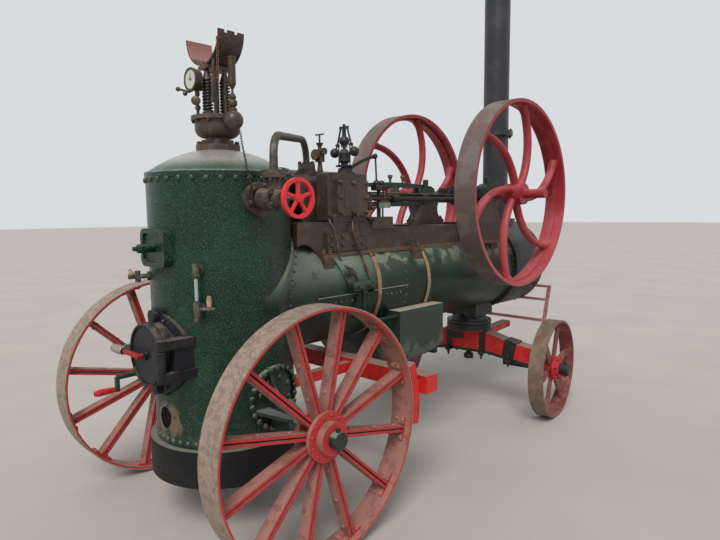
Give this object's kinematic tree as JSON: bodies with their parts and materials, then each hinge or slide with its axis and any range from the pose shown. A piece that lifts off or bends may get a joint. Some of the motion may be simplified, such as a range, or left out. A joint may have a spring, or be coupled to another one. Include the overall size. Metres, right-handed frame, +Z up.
{
  "type": "portable steam engine",
  "caption": "Portable steam engine on four wheels: upright round firebox, horizontal boiler barrel, engine and flywheels on top, folding chimney, steered fore-carriage.",
  "frame": {"origin": "on the ground, below the middle of the rear axle and on the boiler's centre plane", "axes": "+Z up, +Y forward from the firebox to the smokebox, +X to the right-hand side"},
  "size_m": [1.854, 3.83, 5.24],
  "materials": {
    "boiler_green": "satin hammered paint",
    "tank_green": "satin paint",
    "guide_green": "oily satin paint",
    "stove_black": "dull stove black",
    "cast_brown": "worn brown paint",
    "governor_black": "oily dark iron",
    "brass": "dull brass",
    "band_tan": "weathered strap",
    "pipe_grey": "faded grey",
    "bright_steel": "oiled steel",
    "flywheel_red": "satin red",
    "wheel_red": "faded red over worn iron",
    "wood_red": "weathered red paint",
    "frame_red": "satin red"
  },
  "bodies": {
    "boiler_and_engine": {"firebox_shell": "boiler_green", "axle_brackets": "boiler_green", "boiler_barrel": "boiler_green", "handhole_cover": "boiler_green", "turntable_saddle": "boiler_green", "feed_tank": "tank_green", "feed_pump": "tank_green", "brake_spindle": "tank_green", "crosshead_guides": "guide_green", "main_bearings": "guide_green", "ash_pan": "stove_black", "fire_grate": "stove_black", "fire_door_frame": "stove_black", "smokebox": "stove_black", "chimney_base": "stove_black", "engine_bed": "cast_brown", "cylinder": "cast_brown", "valve_chest": "cast_brown", "stop_valve": "cast_brown", "safety_valve": "cast_brown", "whistle": "cast_brown", "pressure_gauge": "cast_brown", "governor_stand": "governor_black", "water_gauge": "brass", "try_cock": "brass", "lubricator": "brass", "barrel_bands": "band_tan", "steam_pipe": "pipe_grey", "crosshead": "bright_steel", "connecting_rod": "bright_steel", "valve_rod": "bright_steel", "crank": "bright_steel", "brake_beam": "wood_red", "front_step": "frame_red"},
    "rear_wheel_right": {"rear_wheel_right": "wheel_red"},
    "rear_wheel_left": {"rear_wheel_left": "wheel_red"},
    "fore_carriage": {"axle_bed": "wood_red", "front_axle": "governor_black"},
    "front_wheel_right": {"front_wheel_right": "wheel_red"},
    "front_wheel_left": {"front_wheel_left": "wheel_red"},
    "flywheels": {"flywheel_right": "flywheel_red", "flywheel_left": "flywheel_red"},
    "governor_head": {"governor_head": "governor_black"},
    "fire_door": {"fire_door": "stove_black"},
    "smokebox_door": {"smokebox_door": "stove_black"},
    "chimney_top": {"chimney_top": "stove_black"}
  },
  "joints": [
    {"name": "rear_wheel_right_roll", "type": "hinge", "parent": "boiler_and_engine", "child": "rear_wheel_right", "pos_m": [0.79, 0, 0.62], "axis": [1, 0, 0], "continuous": true},
    {"name": "rear_wheel_left_roll", "type": "hinge", "parent": "boiler_and_engine", "child": "rear_wheel_left", "pos_m": [-0.79, 0, 0.62], "axis": [1, 0, 0], "continuous": true},
    {"name": "steering", "type": "hinge", "parent": "boiler_and_engine", "child": "fore_carriage", "pos_m": [0, 2.494, 0.692], "axis": [0, 0, 1], "range_deg": [-37, 23]},
    {"name": "front_wheel_right_roll", "type": "hinge", "parent": "fore_carriage", "child": "front_wheel_right", "pos_m": [0.7325, 2.58394, 0.39], "axis": [0.9925, 0.1219, 0], "continuous": true},
    {"name": "front_wheel_left_roll", "type": "hinge", "parent": "fore_carriage", "child": "front_wheel_left", "pos_m": [-0.7325, 2.40406, 0.39], "axis": [0.9925, 0.1219, 0], "continuous": true},
    {"name": "crankshaft_turn", "type": "hinge", "parent": "boiler_and_engine", "child": "flywheels", "pos_m": [0, 2.257, 1.785], "axis": [1, 0, 0], "continuous": true},
    {"name": "governor_spin", "type": "hinge", "parent": "boiler_and_engine", "child": "governor_head", "pos_m": [0.108, 0.862, 2.05], "axis": [0, 0, 1], "continuous": true},
    {"name": "fire_door_hinge", "type": "hinge", "parent": "boiler_and_engine", "child": "fire_door", "pos_m": [0.2, -0.489, 0.962], "axis": [0, 0, 1], "range_deg": [0, 110]},
    {"name": "smokebox_door_hinge", "type": "hinge", "parent": "boiler_and_engine", "child": "smokebox_door", "pos_m": [-0.314, 3.154, 1.185], "axis": [0, 0, 1], "range_deg": [0, 110]},
    {"name": "chimney_fold", "type": "hinge", "parent": "boiler_and_engine", "child": "chimney_top", "pos_m": [0, 2.73, 2.34], "axis": [1, 0, 0], "range_deg": [0, 88.5]}
  ]
}
